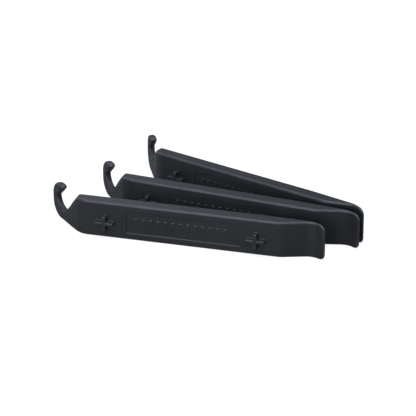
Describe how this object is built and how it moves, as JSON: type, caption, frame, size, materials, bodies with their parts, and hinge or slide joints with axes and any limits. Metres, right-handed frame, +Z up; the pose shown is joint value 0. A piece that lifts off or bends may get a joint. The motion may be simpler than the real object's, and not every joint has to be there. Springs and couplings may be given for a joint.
{
  "type": "tyre lever set",
  "caption": "Set of clip-together moulded nylon tyre levers standing on edge in a fan, each with a bent-back spoke hook, cross studs and a curled blade.",
  "frame": {"origin": "centre of the set's bounding box, on the surface the levers stand on", "axes": "+X along the front lever from its hook to its blade, +Y from the front lever's stud face to its back, +Z up"},
  "size_m": [0.1324, 0.0795, 0.0156],
  "materials": {
    "nylon": "satin near-black moulded nylon"
  },
  "bodies": {
    "front_lever": {"front_lever": "nylon"},
    "middle_lever": {"middle_lever": "nylon"},
    "rear_lever": {"rear_lever": "nylon"}
  },
  "joints": [
    {"name": "middle_lift", "type": "slide", "parent": "front_lever", "child": "middle_lever", "axis": [0, 0, 1], "range_m": [0, 0.04]},
    {"name": "rear_lift", "type": "slide", "parent": "front_lever", "child": "rear_lever", "axis": [0, 0, 1], "range_m": [0, 0.04]}
  ]
}
